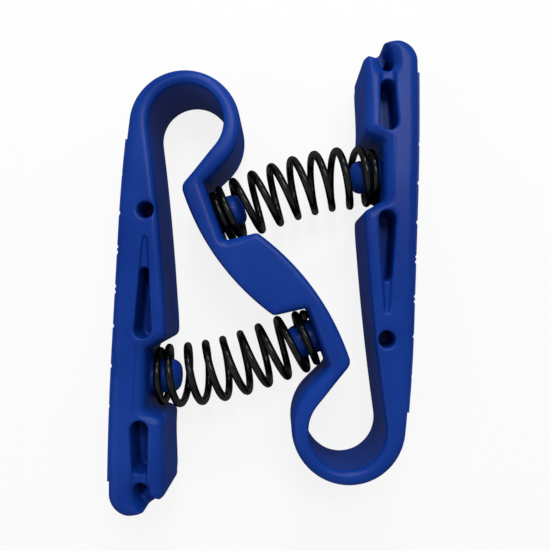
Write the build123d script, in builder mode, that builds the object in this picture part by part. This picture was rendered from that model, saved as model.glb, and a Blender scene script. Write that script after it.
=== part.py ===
"""Squeeze clamp: an N-shaped spring clamp moulded in one piece, held open by two coil springs.

The clamp lies flat. X runs across it, Y along it and Z through its depth, with the underside
at z = 0 and the origin on the axis about which the clamp repeats when turned half a turn.
Everything is drawn once, for the left handle, the upper loop and the upper spring, and the
other half is the same shape turned about that axis. Lengths are in millimetres.
"""

from build123d import *
from math import acos, asin, atan2, cos, degrees, hypot, pi, radians, sin, sqrt, tan
import os

# ---------------------------------------------------------------- driving dimensions

DEPTH = 22.0                 # thickness of the moulding, front to back

# A place is a distance in from the left handle's outer face and a height along Y.

# Handles
HALF_WIDTH = 37.6            # axis to the outer face of a handle, at its widest
TIP_Y = -61.7                # free end of the left handle
TIP_ROUND = 5.8              # round of the free end
TIP_CORNER = -46.0           # degrees round the tip where its inner side meets it
TIP_BOW = 1.0                # how far the slope up to the lip bows out
LIP_WIDTH = 14.0             # width of the handle below its spring seat
LIP_LENGTH = 15.0            # straight part of the lip, below the seat's mouth
OUTER_BLEND = 400.0          # radius that eases the outer face into the loop
TIP_BLEND = 800.0            # and into the free end
TIP_BLEND_Y = -20.0          # where that one starts

# Loops
LOOP_RADIUS = 14.3           # outside of the loop
LOOP_SET_IN = 0.9            # how far the loop's outside stands in from the outer face
NECK_RISE = 0.6245           # how far the foot of the loop clears the top of the bar's seat
LOOP_BORE = 9.6              # inside of the loop
LOOP_CROWN = 3.9             # wall at the crown
BORE_SHIFT = 0.4             # how far the bore sits towards the neck from the loop's centre
BORE_RUN = 10.0              # degrees that the bore runs past level on the handle side

# Centre bar
NOSE = (15.1, 21.6)
NOSE_ROUND = 2.6
SHOULDER = (35.1, 10.4)
SHOULDER_ROUND = 1.5
BAR_BOW = 3.3                # how far each long side of the bar bows out

# Springs
WIRE = 2.0
COIL_OUTSIDE = 17.1          # outside of the free turns
END_OUTSIDE = 15.2           # outside of the closed turn at each end
ACTIVE_TURNS = 7
CLOSED_TURNS = 1.25          # at each end
COIL_START = 36.0            # degrees round the axis at which the wire starts
AXIS_LEAD = 20.0             # how long each end of the axis keeps to its seat's direction
COIL_PLAY = 0.05             # between a closed turn and what it bears on
ARCS_PER_TURN = 6

# Spring seats and the pegs that locate the springs
SEAT_PLAY = 0.15             # between a closed turn and each side of its seat
SEAT_CORNER = 0.9
LIP_CORNER = 1.3             # corner of the handle's seat next to the lip
BAR_SEAT = (23.7, 15.3)
BAR_SEAT_TILT = 22.2         # degrees from X to the spring's axis
HANDLE_SEAT = (8.5, -27.9)
HANDLE_SEAT_TILT = 2.2       # degrees from X to the spring's axis
MOUTH_WIDTH = 13.4           # width of the handle above its spring seat
UPPER_FLARE = 3.2            # rise of the handle seat's upper side, floor to mouth
LOWER_FLARE = 1.4            # fall of its lower side
MOUTH_ROUND = 1.8
PEG_DIAMETER = 8.9
PEG_LENGTH = 7.7
PEG_END_ROUND = 2.8
PEG_ROOT = 0.8               # how deep a peg is rooted in the floor of its seat

# Core-outs, sunk from both faces and leaving a web between them: (place, height, width)
WEB = 3.0
SHALLOW = 1.0
PIN_HOLE = (6.65, 15.0)
PIN_HOLE_DIAMETER = 4.3
TAPER_SLOT = ((6.85, 7.7, 1.3), (7.1, -0.8, 2.4), (7.5, -15.3, 4.3))
TIP_SLOT = ((7.9, -40.1, 4.6), (8.5, -49.2, 3.7))
TIP_POCKET = ((8.7, -55.3, 3.5), (9.2, -57.0, 3.6), (12.7, -60.7, 4.2))
NECK_LINE = ((5.9, -19.5, 0.4), (5.9, -36.0, 0.4))
LINE_DEPTH = 0.2

# Edges
OUTER_ROUND = 2.2
EDGE_ROUND = 1.1

# Grips: a band let into each handle's outer face, with two families of chevron grooves
GRIP_RISE = 0.4              # how far the band stands out of the handle
GRIP_SUNK = 0.5              # and how deep it is let in
GRIP_TOP = 33.0
GRIP_BOTTOM = -53.2
GRIP_MARGIN = 1.2            # how far a grip stops short of each face
GROOVE_PITCH = 10.05
UPPER_FIRST = -7.1           # lowest groove of the upper family, where it meets the face
UPPER_GROOVES = 4
LOWER_FIRST = -43.8
LOWER_GROOVES = 6
GROOVE_DEPTH = 0.45
GROOVE_WIDTH = 1.5
GROOVE_LEAN = 35.0           # degrees that each arm of a chevron leans


# ---------------------------------------------------------------- plane geometry


def step(point, angle, length):
    """The point that lies length away from point, at angle degrees from X."""
    return (point[0] + length * cos(radians(angle)), point[1] + length * sin(radians(angle)))


def from_face(place):
    """The point of a place that is measured in from the left handle's outer face."""
    return (place[0] - HALF_WIDTH, place[1])


def turned(point):
    """The same point on the other half of the clamp."""
    return (-point[0], -point[1])


def tangent_angle(point, centre, radius, side):
    """Where the tangent from point touches a circle: its angle round the centre, in degrees."""
    dx, dy = point[0] - centre[0], point[1] - centre[1]
    return degrees(atan2(dy, dx)) + side * degrees(acos(radius / hypot(dx, dy)))


# ---------------------------------------------------------------- points of the outline

# The end of each seat's floor clears the closed turn of the spring by SEAT_PLAY.
seat_half = END_OUTSIDE / 2 + SEAT_PLAY
bar_seat = from_face(BAR_SEAT)
bar_seat_top = step(bar_seat, BAR_SEAT_TILT + 90, seat_half)
bar_seat_bottom = step(bar_seat, BAR_SEAT_TILT - 90, seat_half)
handle_seat = from_face(HANDLE_SEAT)
handle_seat_top = step(handle_seat, HANDLE_SEAT_TILT + 90, seat_half)
handle_seat_bottom = step(handle_seat, HANDLE_SEAT_TILT - 90, seat_half)
mouth_top = from_face((MOUTH_WIDTH, handle_seat_top[1] + UPPER_FLARE))
mouth_bottom = from_face((LIP_WIDTH, handle_seat_bottom[1] - LOWER_FLARE))
lip_end = (mouth_bottom[0], mouth_bottom[1] - LIP_LENGTH)
nose = from_face(NOSE)
shoulder = from_face(SHOULDER)

# The loop stands clear of the spring seat at the neck's foot, so it keeps its place above the bar.
loop_y = bar_seat_top[1] + LOOP_RADIUS + NECK_RISE

# The bore sits off the loop's centre, towards the crown, so the wall is thinnest there.
loop_centre = from_face((LOOP_SET_IN + LOOP_RADIUS, loop_y))
bore_rise = LOOP_RADIUS - LOOP_CROWN - LOOP_BORE
bore_centre = (loop_centre[0] + BORE_SHIFT, loop_centre[1] + bore_rise)

# The outer face runs straight, then along an arc that is tangent to the face and the loop.
blend_centre_x = OUTER_BLEND - HALF_WIDTH
blend_run = blend_centre_x - loop_centre[0]
blend_rise = sqrt((OUTER_BLEND - LOOP_RADIUS) ** 2 - blend_run**2)
blend_start = (-HALF_WIDTH, loop_centre[1] - blend_rise)
blend_angle = 180 - degrees(atan2(blend_rise, blend_run))

# Below, it runs along another arc, tangent to the face and to the round of the free end.
tip_blend_centre = (TIP_BLEND - HALF_WIDTH, TIP_BLEND_Y)
tip_drop = tip_blend_centre[1] - TIP_Y - TIP_ROUND
tip_run = sqrt((TIP_BLEND - TIP_ROUND) ** 2 - tip_drop**2)
tip_centre = (tip_blend_centre[0] - tip_run, TIP_Y + TIP_ROUND)
tip_angle = degrees(atan2(tip_drop, tip_run))
tip_corner = step(tip_centre, TIP_CORNER, TIP_ROUND)

neck_outer_angle = tangent_angle(bar_seat_top, loop_centre, LOOP_RADIUS, 1)
neck_inner_angle = tangent_angle(nose, bore_centre, LOOP_BORE, 1)
bore_end_angle = 180 + BORE_RUN


def bow(start, end, rise):
    """The middle point of an arc that bows out by rise, to the left of start to end."""
    angle = degrees(atan2(end[1] - start[1], end[0] - start[0]))
    middle = ((start[0] + end[0]) / 2, (start[1] + end[1]) / 2)
    return step(middle, angle + 90, rise)


def draw_half():
    """One half of the outline, from the left tip round to the point turned from it."""
    CenterArc(tip_centre, TIP_ROUND, TIP_CORNER, tip_angle - 180 - TIP_CORNER)
    CenterArc(tip_blend_centre, TIP_BLEND, 180 + tip_angle, -tip_angle)
    Line((-HALF_WIDTH, TIP_BLEND_Y), blend_start)
    CenterArc((blend_centre_x, blend_start[1]), OUTER_BLEND, 180, blend_angle - 180)
    CenterArc(loop_centre, LOOP_RADIUS, blend_angle, neck_outer_angle - blend_angle)
    Polyline(
        step(loop_centre, neck_outer_angle, LOOP_RADIUS), bar_seat_top, bar_seat_bottom, shoulder
    )
    ThreePointArc(shoulder, bow(shoulder, turned(nose), BAR_BOW), turned(nose))
    Line(turned(nose), turned(step(bore_centre, neck_inner_angle, LOOP_BORE)))
    CenterArc(
        turned(bore_centre), LOOP_BORE, neck_inner_angle + 180, bore_end_angle - neck_inner_angle
    )
    bore_end = turned(step(bore_centre, bore_end_angle, LOOP_BORE))
    away = step((0, 0), bore_end_angle + 270, 1)
    TangentArc(bore_end, turned(mouth_top), tangent=away)
    seat = (mouth_top, handle_seat_top, handle_seat_bottom, mouth_bottom, lip_end)
    Polyline(*map(turned, seat))
    slope = (lip_end, bow(lip_end, tip_corner, TIP_BOW), tip_corner)
    ThreePointArc(*map(turned, slope))


# ---------------------------------------------------------------- the moulding's outline

with BuildSketch() as outline:
    with BuildLine() as border:
        draw_half()
        add(border.line.rotate(Axis.Z, 180))
    make_face()
    for corners, radius in (
        ((nose,), NOSE_ROUND),
        ((shoulder,), SHOULDER_ROUND),
        ((mouth_top, mouth_bottom, lip_end), MOUTH_ROUND),
        ((bar_seat_bottom, handle_seat_top), SEAT_CORNER),
        ((handle_seat_bottom,), LIP_CORNER),
    ):
        for corner in [*corners, *map(turned, corners)]:
            fillet(outline.vertices().sort_by_distance(corner)[0], radius)


# ---------------------------------------------------------------- pieces of the moulding

# The moulding is divided where it flexes: level with the loop's centre on the handle side, and
# across the neck, at the corner of the bar's seat, on the bar side.
far = 2 * HALF_WIDTH
seam_y = loop_centre[1]
gap_x = (max(lip_end[0], mouth_top[0]) + nose[0]) / 2
neck_seam_y = bar_seat_top[1] + (gap_x - bar_seat_top[0]) * tan(radians(neck_inner_angle))

handle_region = ((-far, -far), (gap_x, -far), (gap_x, seam_y), (-far, seam_y))
loop_region = (
    (-far, seam_y),
    (gap_x, seam_y),
    (gap_x, neck_seam_y),
    bar_seat_top,
    (0, bar_seat_top[1]),
    (0, far),
    (-far, far),
)
bar_half = ((gap_x, neck_seam_y), bar_seat_top, (0, bar_seat_top[1]), (-gap_x, bar_seat_top[1]))
bar_region = (*bar_half, *map(turned, bar_half))


def slab(region):
    """The outline inside a region, extruded to the full depth."""
    with BuildPart() as block:
        with BuildSketch():
            add(outline.sketch)
            with BuildLine():
                Polyline(*region, close=True)
            make_face(mode=Mode.INTERSECT)
        extrude(amount=DEPTH)
    return block.part


def rims(part):
    """The edges of both faces that still lie on the outline."""
    border = outline.sketch.face().outer_wire()
    flats = part.faces().filter_by(GeomType.PLANE).filter_by(Axis.Z).sort_by(Axis.Z)
    found = ShapeList()
    for edge in [*flats[0].edges(), *flats[-1].edges()]:
        middle = edge @ 0.5
        if border.distance_to(Vertex(middle.X, middle.Y, 0)) < 0.001:
            found.append(edge)
    return found


def outside_handle(edge):
    """Whether an edge of the left handle runs along its outer face or round its tip."""
    middle = edge @ 0.5
    on_tip = middle.Y < tip_centre[1] and middle.X < tip_corner[0]
    return on_tip or middle.X < OUTER_ROUND - HALF_WIDTH


def outside_loop(edge):
    """Whether an edge of the upper loop is on its outer side."""
    middle = edge @ 0.5
    from_centre = hypot(middle.X - loop_centre[0], middle.Y - loop_centre[1])
    return from_centre > (LOOP_RADIUS + LOOP_BORE) / 2


def peg(seat, tilt):
    """A round-ended peg that stands on the floor of a spring seat, at mid-depth."""
    along = step((0, 0), tilt, 1)
    foot = step(seat, tilt, -PEG_ROOT)
    with BuildPart() as pin:
        with BuildSketch(Plane(origin=(*foot, DEPTH / 2), z_dir=(*along, 0))):
            Circle(PEG_DIAMETER / 2)
        extrude(amount=PEG_ROOT + PEG_LENGTH)
        end = pin.edges().filter_by(GeomType.CIRCLE)
        fillet(end.sort_by_distance(Vector(*step(seat, tilt, PEG_LENGTH), DEPTH / 2))[0], PEG_END_ROUND)
    return pin.part


# ---------------------------------------------------------------- core-outs


def wedge(start, end):
    """The flat shape covered by a circle that runs from one place and width to another."""
    with BuildSketch() as shape:
        for *place, width in (start, end):
            with Locations(from_face(place)):
                Circle(width / 2)
        make_hull()
    return shape.sketch


deep_shapes = [
    wedge(TAPER_SLOT[1], TAPER_SLOT[2]),
    wedge(TIP_SLOT[0], TIP_SLOT[1]),
    wedge(TIP_POCKET[0], TIP_POCKET[1]),
    wedge(TIP_POCKET[1], TIP_POCKET[2]),
]
shallow_shapes = [wedge(TAPER_SLOT[0], TAPER_SLOT[1]), wedge(TIP_SLOT[1], TIP_POCKET[0])]
neck_line = wedge(*NECK_LINE)
core_depth = (DEPTH - WEB) / 2


# ---------------------------------------------------------------- grips


def grip_core(growth):
    """The outer part of a handle, grown by a distance, over the length of the grip."""
    top_angle = 180 - degrees(asin((GRIP_TOP - blend_start[1]) / (OUTER_BLEND + growth)))
    low_angle = 180 + degrees(asin((TIP_BLEND_Y - GRIP_BOTTOM) / (TIP_BLEND + growth)))
    blend_centre = (blend_centre_x, blend_start[1])
    top = step(blend_centre, top_angle, OUTER_BLEND + growth)
    bottom = step(tip_blend_centre, low_angle, TIP_BLEND + growth)
    inside = 2 * OUTER_ROUND - HALF_WIDTH
    with BuildPart() as core:
        with BuildSketch(Plane.XY.offset(-growth)):
            with BuildLine():
                CenterArc(tip_blend_centre, TIP_BLEND + growth, low_angle, 180 - low_angle)
                Line((-HALF_WIDTH - growth, TIP_BLEND_Y), (-HALF_WIDTH - growth, blend_start[1]))
                CenterArc(blend_centre, OUTER_BLEND + growth, 180, top_angle - 180)
                Polyline(top, (inside, GRIP_TOP), (inside, GRIP_BOTTOM), bottom)
            make_face()
        extrude(amount=DEPTH + 2 * growth)
        flats = core.faces().filter_by(Axis.Z)
        rim = [e for e in flats.edges() if (e @ 0.5).X < OUTER_ROUND - HALF_WIDTH]
        fillet(rim, OUTER_ROUND + growth)
    return core.part


def chevron(height, rise):
    """A chevron across the grip: its ends at a height on both faces, its point rise higher."""
    half = GROOVE_WIDTH / 2 / cos(radians(GROOVE_LEAN))
    overrun = 0.2 * rise
    ends = height - overrun
    reach = 0.1 * DEPTH
    middle = (height + rise, DEPTH / 2)
    lower = [(ends - half, -reach), (middle[0] - half, middle[1]), (ends - half, DEPTH + reach)]
    upper = [(y + 2 * half, z) for y, z in reversed(lower)]
    with BuildPart() as groove:
        with BuildSketch(Plane.YZ.offset(-HALF_WIDTH - GRIP_RISE)):
            with BuildLine():
                Polyline(*lower, *upper, close=True)
            make_face()
        extrude(amount=GROOVE_DEPTH, taper=45)
    return groove.part


with BuildPart() as grip_blank:
    add(grip_core(GRIP_RISE))
    add(grip_core(-GRIP_SUNK), mode=Mode.SUBTRACT)
    with BuildSketch(Plane.XY.offset(GRIP_MARGIN)):
        Rectangle(2 * far, 2 * far)
    extrude(amount=DEPTH - 2 * GRIP_MARGIN, mode=Mode.INTERSECT)

lean_rise = DEPTH / 2 * tan(radians(GROOVE_LEAN))

with BuildPart() as left_grip:
    add(grip_blank.part)
    for index in range(UPPER_GROOVES):
        add(chevron(UPPER_FIRST + index * GROOVE_PITCH, lean_rise), mode=Mode.SUBTRACT)
    for index in range(LOWER_GROOVES):
        add(chevron(LOWER_FIRST + index * GROOVE_PITCH, -lean_rise), mode=Mode.SUBTRACT)

with BuildPart() as right_grip:
    add(left_grip.part.rotate(Axis.Z, 180))


# ---------------------------------------------------------------- handles, loops and bar

with BuildPart() as left_handle:
    add(slab(handle_region))
    for base in (0, DEPTH - core_depth):
        with BuildSketch(Plane.XY.offset(base)):
            add(deep_shapes)
            with Locations(from_face(PIN_HOLE)):
                Circle(PIN_HOLE_DIAMETER / 2)
        extrude(amount=core_depth, mode=Mode.SUBTRACT)
    for base in (0, DEPTH - SHALLOW):
        with BuildSketch(Plane.XY.offset(base)):
            add(shallow_shapes)
        extrude(amount=SHALLOW, mode=Mode.SUBTRACT)
    for base in (0, DEPTH - LINE_DEPTH):
        with BuildSketch(Plane.XY.offset(base)):
            add(neck_line)
        extrude(amount=LINE_DEPTH, mode=Mode.SUBTRACT)
    fillet(rims(left_handle.part).filter_by(outside_handle), OUTER_ROUND)
    fillet(rims(left_handle.part), EDGE_ROUND)
    add(grip_blank.part, mode=Mode.SUBTRACT)
    add(peg(handle_seat, HANDLE_SEAT_TILT))

with BuildPart() as right_handle:
    add(left_handle.part.rotate(Axis.Z, 180))

with BuildPart() as upper_loop:
    add(slab(loop_region))
    fillet(rims(upper_loop.part).filter_by(outside_loop), OUTER_ROUND)
    fillet(rims(upper_loop.part), EDGE_ROUND)

with BuildPart() as lower_loop:
    add(upper_loop.part.rotate(Axis.Z, 180))

with BuildPart() as centre_bar:
    add(slab(bar_region))
    fillet(rims(centre_bar.part), EDGE_ROUND)
    add(peg(bar_seat, BAR_SEAT_TILT))
    add(peg(turned(bar_seat), BAR_SEAT_TILT + 180))


# ---------------------------------------------------------------- springs

# The axis of the upper spring bends from the bar's seat to the seat in the right handle.
spring_start = (*bar_seat, DEPTH / 2)
spring_end = (*turned(handle_seat), DEPTH / 2)
with BuildLine() as spring_axis:
    Bezier(
        spring_start,
        (*step(bar_seat, BAR_SEAT_TILT, AXIS_LEAD), DEPTH / 2),
        (*step(turned(handle_seat), HANDLE_SEAT_TILT, -AXIS_LEAD), DEPTH / 2),
        spring_end,
    )

axis_line = spring_axis.line.edge()
closed_pitch = WIRE + COIL_PLAY
closed_length = CLOSED_TURNS * closed_pitch
total_turns = ACTIVE_TURNS + 2 * CLOSED_TURNS
end_gap = WIRE / 2 + COIL_PLAY
active_length = axis_line.length - 2 * (end_gap + closed_length)


def coil_point(turn):
    """The point of the wire's centre line after a number of turns."""
    near = min(turn, total_turns - turn)
    if near < CLOSED_TURNS:
        along = end_gap + near * closed_pitch
    else:
        along = end_gap + closed_length + (near - CLOSED_TURNS) * active_length / ACTIVE_TURNS
    if turn > total_turns / 2:
        along = axis_line.length - along
    blend = min(max(near - CLOSED_TURNS / 2, 0), 1)
    ease = blend * blend * (3 - 2 * blend)
    radius = (END_OUTSIDE + ease * (COIL_OUTSIDE - END_OUTSIDE) - WIRE) / 2
    heading = axis_line.tangent_at(along / axis_line.length)
    angle = 2 * pi * turn + radians(COIL_START)
    side = Vector(-heading.Y, heading.X, 0) * radius * cos(angle)
    return axis_line.position_at(along / axis_line.length) + side + Vector(0, 0, radius * sin(angle))


with BuildPart() as upper_spring:
    with BuildLine() as coil:
        halves = 2 * ARCS_PER_TURN
        points = [coil_point(index / halves) for index in range(int(total_turns * halves) + 1)]
        heading = ThreePointArc(*points[:3], mode=Mode.PRIVATE) % 0
        for start, end in zip(points[0:-2:2], points[2::2]):
            arc = TangentArc(start, end, tangent=heading)
            heading = arc % 1
    with BuildSketch(Plane(origin=coil.line @ 0, z_dir=coil.line % 0)):
        Circle(WIRE / 2)
    sweep(path=coil.wires()[0])

with BuildPart() as lower_spring:
    add(upper_spring.part.rotate(Axis.Z, 180))


# ---------------------------------------------------------------- export

centre_bar.part.label = "centre_bar"
upper_loop.part.label = "upper_loop"
lower_loop.part.label = "lower_loop"
left_handle.part.label = "left_handle"
right_handle.part.label = "right_handle"
left_grip.part.label = "left_grip"
right_grip.part.label = "right_grip"
upper_spring.part.label = "upper_spring"
lower_spring.part.label = "lower_spring"

os.makedirs("parts", exist_ok=True)
export_step(centre_bar.part, "parts/centre_bar.step")
export_step(upper_loop.part, "parts/upper_loop.step")
export_step(lower_loop.part, "parts/lower_loop.step")
export_step(left_handle.part, "parts/left_handle.step")
export_step(right_handle.part, "parts/right_handle.step")
export_step(left_grip.part, "parts/left_grip.step")
export_step(right_grip.part, "parts/right_grip.step")
export_step(upper_spring.part, "parts/upper_spring.step")
export_step(lower_spring.part, "parts/lower_spring.step")
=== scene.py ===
# %% [markdown]
# # A squeeze clamp with two coil springs
#
# The clamp is one blue moulding in the shape of an N. Each handle joins the diagonal bar through
# a flexing loop, and a black coil spring pushes each handle away from the bar. The imported model
# The imported model gives every size and place. Its grips only need a finish. The moulding is made
# again here as one soft-edged skin and cut into pieces, and the springs are wound again. On the
# real clamp the loops and springs bend when a handle is squeezed.

from bisect import bisect
from math import cos, pi, radians, sin

import bmesh
import bpy
from mathutils import Matrix, Vector
from mathutils.bvhtree import BVHTree
from mathutils.geometry import interpolate_bezier


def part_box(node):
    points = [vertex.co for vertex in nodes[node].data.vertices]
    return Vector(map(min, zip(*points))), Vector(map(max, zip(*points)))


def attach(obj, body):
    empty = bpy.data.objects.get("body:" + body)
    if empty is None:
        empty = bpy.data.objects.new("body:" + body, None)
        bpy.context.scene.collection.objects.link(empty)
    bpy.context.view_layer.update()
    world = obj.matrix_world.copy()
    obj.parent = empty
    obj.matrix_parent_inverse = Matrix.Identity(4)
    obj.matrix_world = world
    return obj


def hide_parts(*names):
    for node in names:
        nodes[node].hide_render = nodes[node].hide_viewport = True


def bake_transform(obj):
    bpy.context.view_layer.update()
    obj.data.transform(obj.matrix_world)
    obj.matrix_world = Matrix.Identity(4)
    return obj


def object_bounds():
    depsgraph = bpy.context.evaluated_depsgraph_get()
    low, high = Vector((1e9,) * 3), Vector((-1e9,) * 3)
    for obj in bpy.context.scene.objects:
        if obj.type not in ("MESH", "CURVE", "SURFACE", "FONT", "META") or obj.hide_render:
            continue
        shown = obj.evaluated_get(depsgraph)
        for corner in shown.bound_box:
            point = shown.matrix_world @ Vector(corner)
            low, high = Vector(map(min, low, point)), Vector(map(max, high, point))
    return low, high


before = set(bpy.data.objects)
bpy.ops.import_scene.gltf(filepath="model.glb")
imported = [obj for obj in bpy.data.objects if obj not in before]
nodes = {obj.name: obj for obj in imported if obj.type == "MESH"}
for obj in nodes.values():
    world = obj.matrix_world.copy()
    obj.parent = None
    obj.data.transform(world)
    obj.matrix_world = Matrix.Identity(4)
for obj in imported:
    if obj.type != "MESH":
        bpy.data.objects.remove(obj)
cad_low, cad_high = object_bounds()
print("nodes:", sorted(nodes))
print("size in mm:", [round(1000 * s, 1) for s in cad_high - cad_low])

MM = 0.001

# %% [markdown]
# ## Camera
#
# The clamp lies flat and is looked at from straight above, from about 14 cm away. From so near,
# the far side of the moulding looks smaller than the near side, which is why the walls inside
# the loops can be seen. The camera is a few millimetres off centre and tilted by 2 to 3 degrees.

# %% Camera
camera_data = bpy.data.cameras.new("camera")
camera_data.sensor_width = 36
camera_data.lens = 37.33
camera_data.clip_start = 0.01
camera = bpy.data.objects.new("camera", camera_data)
camera.location = (0.00405, -0.00678, 0.1646)
camera.rotation_euler = (radians(2.618), radians(0.486), radians(2.431))
bpy.context.scene.collection.objects.link(camera)
bpy.context.scene.camera = camera
print("camera above the top face by", round((camera.location.z - cad_high.z) / MM), "mm")

# %% [markdown]
# ## Light
#
# A satin plastic shows its form through soft reflections, so the lamps are large. A long lamp
# hangs beyond the top, where it puts a sheen on the tip, the crown and the upper rims, and a
# weaker one fills in from the lower left. A third stands low, like a window: it shines
# down the long slots and puts the glints on the upper part of each turn of wire. The world gives
# the rest: it looks white to the camera and in reflections, but lights the clamp only weakly.
# Together they light a level face so that its colour looks as it is written, and the Standard
# view transform keeps it so.

# %% Lamps
def area_lamp(name, place, size, watts):
    """A lamp of a given width and height that points at the middle of the clamp."""
    data = bpy.data.lights.new(name, "AREA")
    data.shape = "RECTANGLE"
    data.size, data.size_y = size
    data.energy = watts
    lamp = bpy.data.objects.new(name, data)
    lamp.location = place
    lamp.rotation_euler = (-Vector(place)).to_track_quat("-Z", "Y").to_euler()
    bpy.context.scene.collection.objects.link(lamp)
    print(name, "of", watts, "W stands", round(Vector(place).length, 2), "m away")


area_lamp("key_lamp", place=(0.06, 0.23, 0.50), size=(0.34, 0.15), watts=1.65)
area_lamp("fill_lamp", place=(-0.36, -0.20, 0.34), size=(0.35, 0.35), watts=0.40)
area_lamp("window_lamp", place=(0.00, 0.34, 0.24), size=(0.10, 0.10), watts=0.55)

bpy.context.scene.view_settings.view_transform = "Standard"

# %% [markdown]
# ## Writing shader maths as expressions
#
# A finish is easier to read as arithmetic than as a list of nodes and links. The class below
# holds one socket. Adding or multiplying two of them adds a Math node, and every other node is
# made by one method, which takes the node's type, its settings and its sockets' values. A
# colour ramp's stops are given with the settings. A socket's value is given by the socket's
# name, or by the letter i and its number where names repeat.

# %% The socket class
class Value:
    """A socket of a shader node, on which arithmetic adds Math nodes."""

    def __init__(self, tree, socket):
        self.tree = tree
        self.socket = socket

    def node(self, kind, output=0, settings=None, **inputs):
        """Adds a node, sets it up, fills its sockets and returns one of its outputs."""
        made = self.tree.nodes.new(kind)
        for key, value in (settings or {}).items():
            if key == "stops":
                for element, (place, colour) in zip(made.color_ramp.elements, value):
                    element.position = place
                    element.color = colour
            else:
                setattr(made, key, value)
        for key, value in inputs.items():
            name = int(key[1:]) if key[1:].isdigit() else key.replace("_", " ")
            socket = made.inputs[name]
            if isinstance(value, Value):
                self.tree.links.new(value.socket, socket)
            else:
                socket.default_value = value
        return Value(self.tree, made.outputs[output])

    def maths(self, operation, a, b):
        """Adds a Math node on two sockets or numbers."""
        return self.node("ShaderNodeMath", settings={"operation": operation}, i0=a, i1=b)

    def __add__(self, other):
        return self.maths("ADD", self, other)

    def __rsub__(self, other):
        return self.maths("SUBTRACT", other, self)

    def __mul__(self, other):
        return self.maths("MULTIPLY", self, other)

    __radd__ = __add__
    __rmul__ = __mul__


# %% [markdown]
# ## How a finish starts
#
# Both finishes start alike: a new material, its main shader, and the object's own coordinates.
# A pattern that is worked out from those stays on its piece in every view. Both finishes also
# shine through a thin coat over a body with no gloss of its own. Its weight varies over the
# surface and fades where the surface turns edge on.

# %% Starting a material
def start_material(name, coat_roughness):
    """A new material: its tree, its main shader and the object's own coordinates."""
    material = bpy.data.materials.new(name)
    material.use_nodes = True
    tree = material.node_tree
    shader = tree.nodes["Principled BSDF"]
    shader.inputs["Roughness"].default_value = 0.5
    shader.inputs["Specular IOR Level"].default_value = 0.0
    shader.inputs["Coat Roughness"].default_value = coat_roughness
    place = Value(tree, tree.nodes.new("ShaderNodeTexCoord").outputs["Object"])
    return material, shader, place


def feed(value, shader, name):
    """Links a value to one of the main shader's sockets."""
    value.tree.links.new(value.socket, shader.inputs[name])


# %% [markdown]
# ## Blue satin plastic
#
# The moulding comes from a smooth tool that has been lightly textured, so it is satin, not
# glossy. Up close it has a fine grain, and over a few centimetres the colour drifts a little
# between a deeper and a brighter blue, where the melt flowed and cooled at different rates.
# Both come from noise. The sheen is the coat: a plain gloss would whiten the deep walls inside
# the loops, which are a dark navy on the real one.

# %% Plastic
DEEP_BLUE = (0.0018, 0.0240, 0.1950, 1)
BRIGHT_BLUE = (0.0048, 0.0385, 0.2650, 1)
SHEEN = 0.13  # the coat's weight, to which cloud and grain add a little
CLOUD_SHEEN = 0.08
GRAIN_SHEEN = 0.04
EDGE_FADE = 0.9

plastic, shader, place = start_material("blue_satin_plastic", coat_roughness=0.30)
cloud = place.node("ShaderNodeTexNoise", Vector=place, Scale=38.0, Detail=3.0, Roughness=0.55)
grain = place.node("ShaderNodeTexNoise", Vector=place, Scale=2600.0, Detail=2.0)
drift = place.node(
    "ShaderNodeValToRGB", settings={"stops": [(0.32, DEEP_BLUE), (0.70, BRIGHT_BLUE)]}, Fac=cloud
)
feed(drift, shader, "Base Color")
facing = place.node("ShaderNodeLayerWeight", output="Facing", Blend=0.5)
sheen = (SHEEN + CLOUD_SHEEN * cloud + GRAIN_SHEEN * grain) * (1 - EDGE_FADE * facing)
feed(sheen, shader, "Coat Weight")
relief = place.node("ShaderNodeBump", Strength=0.12, Distance=0.06 * MM, Height=grain)
feed(relief, shader, "Normal")

for name in ("left_grip", "right_grip"):
    nodes[name].data.materials.clear()
    nodes[name].data.materials.append(plastic)
print("plastic on", len(plastic.node_tree.nodes), "shader nodes")

# %% [markdown]
# ## Black spring wire
#
# The springs are hard-drawn steel with a shiny black coating. It is dark enough that nearly all
# that shows of it is highlights, so the coating's weight varies along the wire, and faint
# drawing marks break the highlights up.

# %% Spring wire
DEEP_BLACK = (0.0008, 0.0012, 0.0016, 1)
SOFT_BLACK = (0.0030, 0.0042, 0.0050, 1)
GLOSS = 0.24
MOTTLE_GLOSS = 0.16

wire_black, shader, place = start_material("black_coated_wire", coat_roughness=0.14)
mottle = place.node("ShaderNodeTexNoise", Vector=place, Scale=420.0, Detail=3.0)
marks = place.node("ShaderNodeTexNoise", Vector=place, Scale=1900.0, Detail=2.0)
tone = place.node(
    "ShaderNodeValToRGB", settings={"stops": [(0.35, DEEP_BLACK), (0.75, SOFT_BLACK)]}, Fac=mottle
)
feed(tone, shader, "Base Color")
facing = place.node("ShaderNodeLayerWeight", output="Facing", Blend=0.5)
gloss = (GLOSS + MOTTLE_GLOSS * mottle) * (1 - facing)
feed(gloss, shader, "Coat Weight")
relief = place.node("ShaderNodeBump", Strength=0.10, Distance=0.05 * MM, Height=marks)
feed(relief, shader, "Normal")
print("wire on", len(wire_black.node_tree.nodes), "shader nodes")

# %% [markdown]
# ## The moulding in one skin
#
# A moulded part has no crisp edges: its rims are broad and soft, and they run on from the
# handles through the loops to the bar without a break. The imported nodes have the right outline
# but narrower rims. So the five nodes are joined here, made one skin, and the rims are rounded
# further on that skin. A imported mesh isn't joined from one face of the model to the next, so
# the copies are welded. A copy of each grip, sunk by a grip's height, fills the shallow bed
# that the grip lies in.

# %% Joined moulding
MOULDING = ("left_handle", "upper_loop", "centre_bar", "lower_loop", "right_handle")
WELD = 0.001 * MM
GRIP_SINK = 0.45 * MM

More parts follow.
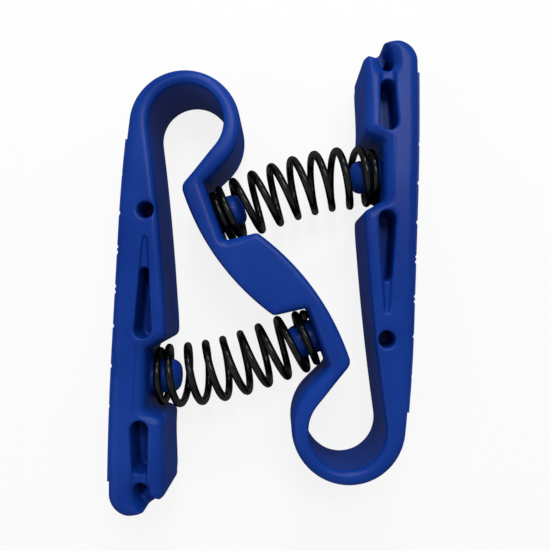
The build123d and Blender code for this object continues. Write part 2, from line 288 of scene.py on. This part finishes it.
joined = bmesh.new()
for name in MOULDING:
    joined.from_mesh(nodes[name].data)
for name, inward in (("left_grip", GRIP_SINK), ("right_grip", -GRIP_SINK)):
    before = len(joined.verts)
    joined.from_mesh(nodes[name].data)
    joined.verts.ensure_lookup_table()
    bmesh.ops.translate(joined, verts=joined.verts[before:], vec=(inward, 0, 0))
bmesh.ops.remove_doubles(joined, verts=joined.verts, dist=WELD)
print("joined moulding:", len(joined.verts), "points")

# %% [markdown]
# ## Pillars at the tips
#
# On the real clamp the lip beside the pocket in a handle's tip ends in a round knob, and the
# notch between that knob and the tip is filled by a thick web at mid-depth. Both are short
# pillars here. They only have to overlap the moulding, because the next step fuses them. Every
# feature is placed on the left handle, and the right one is the same turned half a turn.

# %% Pillars
mid_z = (cad_low.z + cad_high.z) / 2
half_width = -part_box("left_handle")[0].x
LIP_END = Vector((11.9 * MM - half_width, -55.5 * MM, 0))
KNOB_RADIUS = 1.8 * MM
NOTCH = Vector((9.9 * MM - half_width, -57.4 * MM, 0))
NOTCH_RADIUS = 1.9 * MM
NOTCH_WEB = 8.8 * MM


def pillar(foot, radius, height):
    """Adds a round pillar at mid-depth to the joined moulding."""
    bmesh.ops.create_cone(
        joined,
        cap_ends=True,
        segments=48,
        radius1=radius,
        radius2=radius,
        depth=height,
        matrix=Matrix.Translation(foot + Vector((0, 0, mid_z))),
    )


for turn in (1, -1):
    pillar(turn * LIP_END, KNOB_RADIUS, cad_high.z - cad_low.z)
    pillar(turn * NOTCH, NOTCH_RADIUS, NOTCH_WEB)
print("with the pillars:", len(joined.verts), "points")

# %% [markdown]
# ## One even skin
#
# A voxel remesh keeps only the outside of all that overlaps, and covers it with small quads of
# one size. Small and even is what the rounding needs, because a point can only be moved where
# there is one. Modifiers work on objects, so the mesh is put in an object for a moment.

# %% Even skin
SKIN_CELL = 0.35 * MM


def new_object(name, mesh):
    """An object that shows a mesh, placed in the scene."""
    made = bpy.data.objects.new(name, mesh)
    bpy.context.scene.collection.objects.link(made)
    return made


def rough_object(shape):
    """A passing object for a shape that modifiers are to work on. The shape is freed."""
    mesh = bpy.data.meshes.new("rough")
    shape.to_mesh(mesh)
    shape.free()
    return new_object("rough", mesh)


def finished_mesh(rough):
    """The mesh of an object with its modifiers applied. The object itself is removed."""
    bpy.context.view_layer.update()
    seen = rough.evaluated_get(bpy.context.evaluated_depsgraph_get())
    mesh = bpy.data.meshes.new_from_object(seen)
    bpy.data.objects.remove(rough)
    return mesh


rough = rough_object(joined)
remesh = rough.modifiers.new("even_skin", "REMESH")
remesh.mode = "VOXEL"
remesh.voxel_size = SKIN_CELL
skin = bmesh.new()
skin.from_mesh(finished_mesh(rough))
print("even skin:", len(skin.faces), "faces")

# %% [markdown]
# ## The wall of the outline
#
# To round a rim, every point near it is given two measures: how far in from the side wall it
# lies, and how far below the face. For the first, the side wall is needed on its own. A level
# section through the skin, above the pegs, gives the outline. The core-outs are small loops of
# their own in it, so the section's edges are parted into groups that hang together, and the
# longest group is the outline. A ribbon is raised on it, and a search tree finds the nearest
# spot of the ribbon.

# %% The wall of the outline
SECTION_Z = 17 * MM


def of_kind(parts, kind):
    """The parts of a bmesh that are vertices, edges or faces."""
    return [part for part in parts if isinstance(part, kind)]


def hanging_together(parts, neighbours):
    """Groups of parts that hang together, where neighbours lists what one part touches."""
    left = set(parts)
    while left:
        front = {left.pop()}
        group = set()
        while front:
            group |= front
            front = {near for part in front for near in neighbours(part)} & left
            left -= front
        yield group


def edges_beside(edge):
    """The edges that share an end with an edge, and the edge itself."""
    return [near for vert in edge.verts for near in vert.link_edges]


section = skin.copy()
everything = [*section.verts, *section.edges, *section.faces]
cut = bmesh.ops.bisect_plane(
    section, geom=everything, plane_co=(0, 0, SECTION_Z), plane_no=(0, 0, 1)
)["geom_cut"]
loops = list(hanging_together(of_kind(cut, bmesh.types.BMEdge), edges_beside))
outline = max(loops, key=lambda loop: sum(edge.calc_length() for edge in loop))

ribbon = bmesh.new()
placed = {v: ribbon.verts.new((v.co.x, v.co.y, 0)) for edge in outline for v in edge.verts}
for edge in outline:
    ribbon.edges.new([placed[v] for v in edge.verts])
raised = bmesh.ops.extrude_edge_only(ribbon, edges=ribbon.edges)["geom"]
bmesh.ops.translate(ribbon, verts=of_kind(raised, bmesh.types.BMVert), vec=(0, 0, cad_high.z))
wall = BVHTree.FromBMesh(ribbon)
print(len(loops), "loops, outline of", len(outline), "edges")
section.free()
ribbon.free()

# %% [markdown]
# ## Where the rims are broad
#
# The lips and the sides of the handles' spring seats are the softest, because fingers and work
# touch them. The seats on the bar are a little tighter, the insides of the loops tighter still,
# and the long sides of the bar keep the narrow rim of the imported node. Between these places
# the radius has to change gently, which a curve that eases in and out does. One half of the
# clamp is described, and the other half is the same turned half a turn.

# %% Rim radius
LIP_RIM = 2.8 * MM
SEAT_RIM = 2.2 * MM
LOOP_RIM = 1.7 * MM
BAR_RIM = 1.1 * MM

MOUTH_Y = (-13 * MM, -19 * MM)  # the handle's rim widens between these, towards the tip
INNER_SIDE = (2.5 * MM, 7.5 * MM)  # and between these, in from the outer face
LOOP_X = (-15 * MM, -19 * MM)  # the loop's rim begins and is full here
LOOP_RISE = (12 * MM, 20 * MM)  # the same, measured on a slant up and to the left
SEAT_REACH = (13 * MM, 8.5 * MM)  # the bar's seat, out from its middle
SEAT_FLOOR = (-4 * MM, -1.5 * MM)  # and along its axis, from behind its floor
BAR_SEAT = Vector((-13.9, 15.3, 0)) * MM
BAR_SEAT_TILT = radians(22.2)
seat_axis = Vector((cos(BAR_SEAT_TILT), sin(BAR_SEAT_TILT), 0))


def ease(value, start, end):
    """Rises smoothly from 0 at start to 1 at end."""
    share = min(max((value - start) / (end - start), 0), 1)
    return share * share * (3 - 2 * share)


def rim_radius(spot):
    """The radius of the rim at a spot of the outline."""
    half = spot if spot.x < 0 else -spot
    radius = BAR_RIM
    in_loop = ease(half.x, *LOOP_X) * ease(half.y - half.x, *LOOP_RISE)
    radius += in_loop * (LOOP_RIM - radius)
    from_seat = half - BAR_SEAT
    at_seat = ease(from_seat.length, *SEAT_REACH) * ease(from_seat.dot(seat_axis), *SEAT_FLOOR)
    radius += at_seat * (SEAT_RIM - radius)
    at_lip = ease(half.x + half_width, *INNER_SIDE) * ease(half.y, *MOUTH_Y)
    return radius + at_lip * (LIP_RIM - radius)


print("rim at the bar's seat:", round(rim_radius(BAR_SEAT) / MM, 2), "mm")

# %% [markdown]
# ## Rounding the rims
#
# In the square where both measures are less than the radius wanted, a point outside the arc of
# that radius moves towards the arc's centre until it lies on the arc. On the wall itself the
# way in can't be told from the nearest spot, which is the point's own place, so there the
# point's normal tells it.

# %% Rounding
ON_WALL = 0.2 * MM


def inward_of(vert, spot):
    """The level direction from the side wall to a point of the skin, and the distance."""
    inward = Vector((vert.co.x, vert.co.y, 0)) - spot
    if inward.length >= ON_WALL:
        return inward.normalized(), inward.length
    direction = -Vector((vert.normal.x, vert.normal.y, 0)).normalized()
    return direction, inward.dot(direction)


skin.normal_update()
moved = 0
for vert in skin.verts:
    below = min(vert.co.z - cad_low.z, cad_high.z - vert.co.z)
    if below > LIP_RIM:
        continue
    spot = wall.find_nearest((vert.co.x, vert.co.y, mid_z))[0]
    spot.z = 0
    direction, inside = inward_of(vert, spot)
    radius = rim_radius(spot)
    reach = Vector((radius - inside, radius - below))
    if min(reach) < 0 or reach.length <= radius:
        continue
    reach *= radius / reach.length
    flat = spot + direction * (radius - reach.x)
    sink = radius - reach.y
    vert.co = (flat.x, flat.y, cad_high.z - sink if vert.co.z > mid_z else cad_low.z + sink)
    moved += 1
print("points moved onto the broad rims:", moved)

# %% [markdown]
# ## Fuller lips and a last smoothing
#
# Towards its end the lip grows a little fuller on its inner side. Then a light smoothing evens
# out the small steps that the quads leave, and a stronger one, through a vertex group, blunts
# only the end of each lip.

# %% Fuller lips
LIP_FULLER = 1.0 * MM
FULLER_Y = (40 * MM, 57 * MM)
FULLER_SIDE = (9.9 * MM, 12.4 * MM)
HANDLE_DEPTH = 18 * MM  # in from the outer face, past which nothing is the handle's
LIP_END_REACH = 4.5 * MM

rough = rough_object(skin)
lip_end = rough.vertex_groups.new(name="lip_end")
near_ends = 0
for vert in rough.data.vertices:
    turn = -1 if vert.co.x > 0 else 1
    inner = turn * vert.co.x + half_width
    if inner < HANDLE_DEPTH:
        fuller = ease(-turn * vert.co.y, *FULLER_Y) * ease(inner, *FULLER_SIDE)
        vert.co.x += turn * fuller * LIP_FULLER
    away = (vert.co - turn * LIP_END).xy.length
    if away < LIP_END_REACH:
        lip_end.add([vert.index], ease(away, LIP_END_REACH, LIP_END_REACH / 3), "REPLACE")
        near_ends += 1
print("points at the lips' ends:", near_ends)

# %% Smoothing
for name, group, passes in (("evened", "", 6), ("blunted", "lip_end", 12)):
    smooth = rough.modifiers.new(name, "SMOOTH")
    smooth.vertex_group = group
    smooth.factor = 0.5
    smooth.iterations = passes
whole = bmesh.new()
whole.from_mesh(finished_mesh(rough))
whole.normal_update()
print("smooth skin:", len(whole.faces), "faces")

# %% [markdown]
# ## Back into pieces
#
# The handles turn and the bar stays, and on the real clamp the loops bend, so the skin is cut
# across at four seams: level with the loops' centres on the handle side, and across the necks
# where they meet the bar. Each cut is made only in the faces near its seam, and then opened.

# %% Seams
SEAM_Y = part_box("left_handle")[1].y
HANDLE_SEAM = Vector((-34.1 * MM, SEAM_Y, 0))
NECK_SEAM = Vector((-18.7, 23.9, 0)) * MM
NECK_SEAM_NORMAL = Vector((0.6024, 0.7982, 0))
SEAM_REACH = 4.2 * MM
CUT_SLACK = 0.0001 * MM


def cut_across(faces, place, normal):
    """Cuts some faces of the whole skin along a plane."""
    parts = {v for f in faces for v in f.verts} | {e for f in faces for e in f.edges}
    return bmesh.ops.bisect_plane(
        whole, geom=[*parts, *faces], dist=CUT_SLACK, plane_co=place, plane_no=normal
    )


for seam, across in ((HANDLE_SEAM, Vector((0, 1, 0))), (NECK_SEAM, NECK_SEAM_NORMAL)):
    for turn in (1, -1):
        middle = turn * seam
        near = [f for f in whole.faces if (f.calc_center_median() - middle).xy.length < SEAM_REACH]
        edges = of_kind(cut_across(near, middle, across)["geom_cut"], bmesh.types.BMEdge)
        bmesh.ops.split_edges(whole, edges=edges)
        print("seam of", len(edges), "edges")

# %% [markdown]
# ## Parting lines
#
# A hairline runs down both faces of each handle beside its spring seat, where two parts of the
# mould meet. Its four sides are cut into the face, and the strip between them is extruded
# inwards. A bump would do from above, but a real groove also shows in the exported mesh.

# %% Parting lines
LINE = Vector((5.9 * MM - half_width, -27.8 * MM, 0))
LINE_HALF = Vector((0.2, 8.2, 0)) * MM
LINE_SINK = 0.2 * MM
PATCH_HALF = LINE_HALF + Vector((1, 1, 0)) * MM
LEVEL = 0.9  # a face whose normal stands up by more than this share counts as level


def within(face, middle, reach):
    """Tells whether a face's middle lies in an upright box around a place."""
    away = face.calc_center_median() - middle
    return abs(away.x) < reach.x and abs(away.y) < reach.y


for turn in (1, -1):
    middle = turn * LINE
    around = [f for f in whole.faces if within(f, middle, PATCH_HALF)]
    for way in (1, -1):
        patch = [f for f in around if f.is_valid and f.normal.z * way > LEVEL]
        for across in (Vector((1, 0, 0)), Vector((0, 1, 0))):
            for half in (across.dot(LINE_HALF), -across.dot(LINE_HALF)):
                cut = cut_across(patch, middle + half * across, across)["geom"]
                patch = of_kind(cut, bmesh.types.BMFace)
        strip = [f for f in patch if within(f, middle, LINE_HALF)]
        sunk = bmesh.ops.extrude_face_region(whole, geom=strip)["geom"]
        verts = of_kind(sunk, bmesh.types.BMVert)
        bmesh.ops.translate(whole, verts=verts, vec=(0, 0, -way * LINE_SINK))
        bmesh.ops.delete(whole, geom=strip, context="FACES")
        print("parting line:", len(strip), "faces sunk")

# %% [markdown]
# ## Five pieces
#
# The skin is now five islands of faces. Each becomes an object of its own, is named after the
# node whose place it takes, and has its cut ends closed. Its faces are shaded smooth, and only
# its sharpest edges stay crisp.

# %% Pieces of the moulding
SHARP_EDGE = radians(50)


def faces_beside(face):
    """The faces that share an edge with a face, and the face itself."""
    return [near for edge in face.edges for near in edge.link_faces]


def node_of(group):
    """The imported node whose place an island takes, told by where its middle is."""
    middle = sum((f.calc_center_median() for f in group), Vector()) / len(group)
    return min(MOULDING, key=lambda name: (sum(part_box(name), Vector()) / 2 - middle).length)


def own_piece(shape, group, name):
    """One island of a shape as an object of its own, with its cut ends closed."""
    part = shape.copy()
    part.faces.ensure_lookup_table()
    keep = {f.index for f in group}
    bmesh.ops.delete(part, geom=[f for f in part.faces if f.index not in keep], context="FACES")
    bmesh.ops.holes_fill(part, edges=[e for e in part.edges if e.is_boundary], sides=0)
    mesh = bpy.data.meshes.new(name)
    part.to_mesh(mesh)
    part.free()
    for face in mesh.polygons:
        face.use_smooth = True
    mesh.set_sharp_from_angle(angle=SHARP_EDGE)
    mesh.materials.append(plastic)
    return new_object(name, mesh)


whole.faces.index_update()
islands = {node_of(group): group for group in hanging_together(whole.faces, faces_beside)}
pieces = {}
for node in sorted(islands, key=lambda name: (-len(islands[name]), name)):
    pieces[node] = own_piece(whole, islands[node], node + "_skin")
    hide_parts(node)
    print(node, len(islands[node]), "faces")
whole.free()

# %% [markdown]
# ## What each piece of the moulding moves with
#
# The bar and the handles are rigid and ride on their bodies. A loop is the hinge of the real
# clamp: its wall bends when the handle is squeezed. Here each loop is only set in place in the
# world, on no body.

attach(pieces["centre_bar"], "centre")
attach(pieces["left_handle"], "left")
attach(pieces["right_handle"], "right")
for name, body, turn in (("upper_loop", "left", 1), ("lower_loop", "right", -1)):
    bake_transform(pieces[name])
    print(name, "bends between the centre and the", body, "handle")

# %% [markdown]
# ## The axis of a spring
#
# Each spring is wound on an axis that bends a little, because its two seats don't quite face
# each other. The axis leaves each seat square to it, and a Bezier curve joins the two. A little
# more than one closed turn lies on each seat, and the turns between share the rest of the length.

# %% Spring axis
ACTIVE_TURNS = 7
CLOSED_TURNS = 1.25
CLOSED_PITCH = 2.05 * MM
END_GAP = 1.05 * MM
AXIS_LEAD = 20 * MM
AXIS_POINTS = 400
HANDLE_SEAT = Vector((29.1, 27.9, 0)) * MM
HANDLE_SEAT_TILT = radians(2.2)

seat_lift = Vector((0, 0, mid_z))
handle_axis = Vector((cos(HANDLE_SEAT_TILT), sin(HANDLE_SEAT_TILT), 0))
axis_points = interpolate_bezier(
    BAR_SEAT + seat_lift,
    BAR_SEAT + seat_lift + AXIS_LEAD * seat_axis,
    HANDLE_SEAT + seat_lift - AXIS_LEAD * handle_axis,
    HANDLE_SEAT + seat_lift,
    AXIS_POINTS,
)
reached = [0]
for near, far in zip(axis_points, axis_points[1:]):
    reached.append(reached[-1] + (far - near).length)
total_turns = ACTIVE_TURNS + 2 * CLOSED_TURNS
free_pitch = (reached[-1] - 2 * (END_GAP + CLOSED_TURNS * CLOSED_PITCH)) / ACTIVE_TURNS
print("axis", round(reached[-1] / MM, 1), "mm long, pitch", round(free_pitch / MM, 2), "mm")

# %% [markdown]
# ## The line of the wire
#
# A point of the wire is found turn by turn: how far along the axis it is, which way the axis
# heads there, and how far round it the wire has gone. The closed turns are a little narrower,
# so that they grip the peg.

# %% Wire line
FREE_RADIUS = 7.55 * MM
CLOSED_RADIUS = 6.6 * MM


def wire_point(turns, start_angle):
    """A point of the wire's centre line, after a number of turns from the bar's seat."""
    near = min(turns, total_turns - turns)
    closed = min(near, CLOSED_TURNS)
    along = END_GAP + closed * CLOSED_PITCH + (near - closed) * free_pitch
    if turns > total_turns / 2:
        along = reached[-1] - along
    index = bisect(reached, along) - 1
    step = axis_points[index + 1] - axis_points[index]
    centre = axis_points[index] + step * ((along - reached[index]) / step.length)
    heading = step.normalized()
    opening = ease(near, CLOSED_TURNS / 2, CLOSED_TURNS / 2 + 1)
    radius = CLOSED_RADIUS + opening * (FREE_RADIUS - CLOSED_RADIUS)
    angle = 2 * pi * turns + start_angle
    side = Vector((-heading.y, heading.x, 0))
    return centre + radius * (cos(angle) * side + Vector((0, 0, sin(angle))))


print("wire starts at", [round(value / MM, 1) for value in wire_point(0, 0)])

# %% [markdown]
# ## Winding the springs
#
# The line becomes a curve with a round bevel, which is the wire, and then a mesh. The two springs
# are alike but are wound from different start angles. Each runs from the bar's seat to a handle's
# seat, and is set in place in the world, on no body.

# %% Springs
WIRE = 2.0 * MM
POINTS_PER_TURN = 36
SPRINGS = (
    ("upper_spring", "right", radians(36), 1),
    ("lower_spring", "left", radians(150), -1),
)


def wound_spring(name, start_angle, turn):
    """A spring from the bar's seat to a handle's seat, as a mesh."""
    curve = bpy.data.curves.new(name, "CURVE")
    curve.dimensions = "3D"
    curve.bevel_depth = WIRE / 2
    curve.bevel_resolution = 4
    curve.use_fill_caps = True
    line = curve.splines.new("POLY")
    line.points.add(int(total_turns * POINTS_PER_TURN))
    line.use_smooth = True
    for index, point in enumerate(line.points):
        place = wire_point(index / POINTS_PER_TURN, start_angle)
        point.co = (turn * place.x, turn * place.y, place.z, 1)
    mesh = finished_mesh(new_object(name + "_line", curve))
    mesh.name = name
    mesh.materials.clear()
    mesh.materials.append(wire_black)
    return new_object(name, mesh)


for node, body, start_angle, turn in SPRINGS:
    coil = wound_spring(node + "_coil", start_angle, turn)
    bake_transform(coil)
    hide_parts(node)
    print(coil.name, "has", len(coil.data.polygons), "faces")

# %% [markdown]
# ## Floor and background
#
# The clamp lies on a white table. To the camera, and in reflections, the table and the world
# are nearly pure white, and the table keeps a soft shadow. To the light that falls on the
# clamp, the table is a plain pale table and the world gives about a third of that white, so
# the white all round doesn't flood the clamp.

# %% What sees the background
def seen_ray(tree):
    """1 for a ray from the camera, or one that gloss or glass sends on, and 0 for light."""
    camera_ray = Value(tree, None).node("ShaderNodeLightPath", output="Is Camera Ray")
    path = camera_ray.socket.node
    glossy = Value(tree, path.outputs["Is Glossy Ray"])
    transmitted = Value(tree, path.outputs["Is Transmission Ray"])
    return camera_ray.maths("MINIMUM", camera_ray + glossy + transmitted, 1.0)


# %% Floor
TABLE_HALF = 1.5
TABLE_GAP = 0.2 * MM
TABLE_WHITE = (0.80, 0.80, 0.80, 1)
SHOWN_WHITE = 0.85  # the share of plain white in the table's colour as it is seen

shape = bmesh.new()
bmesh.ops.create_grid(shape, x_segments=1, y_segments=1, size=TABLE_HALF)
bmesh.ops.translate(shape, verts=shape.verts, vec=(0, 0, cad_low.z - TABLE_GAP))
table_mesh = bpy.data.meshes.new("table")
shape.to_mesh(table_mesh)
shape.free()
new_object("table", table_mesh)

white = bpy.data.materials.new("white_table")
white.use_nodes = True
tree = white.node_tree
shader = tree.nodes["Principled BSDF"]
shader.inputs["Base Color"].default_value = TABLE_WHITE
shader.inputs["Roughness"].default_value = 0.8
lit = Value(tree, shader.outputs[0])
glow = lit.node("ShaderNodeEmission", Color=(1, 1, 1, 1), Strength=1.0)
mixed = lit.node("ShaderNodeMixShader", i0=SHOWN_WHITE * seen_ray(tree), i1=lit, i2=glow)
tree.links.new(mixed.socket, tree.nodes["Material Output"].inputs["Surface"])
table_mesh.materials.append(white)
print("table", round(2 * TABLE_HALF), "m across")

# %% World
LIGHT_FROM_ROOM = 0.32

world = bpy.data.worlds.new("room")
bpy.context.scene.world = world
world.use_nodes = True
tree = world.node_tree
background = tree.nodes["Background"]
background.inputs["Color"].default_value = (1, 1, 1, 1)
strength = LIGHT_FROM_ROOM + (1 - LIGHT_FROM_ROOM) * seen_ray(tree)
tree.links.new(strength.socket, background.inputs["Strength"])
print("the room lights the clamp at", LIGHT_FROM_ROOM)
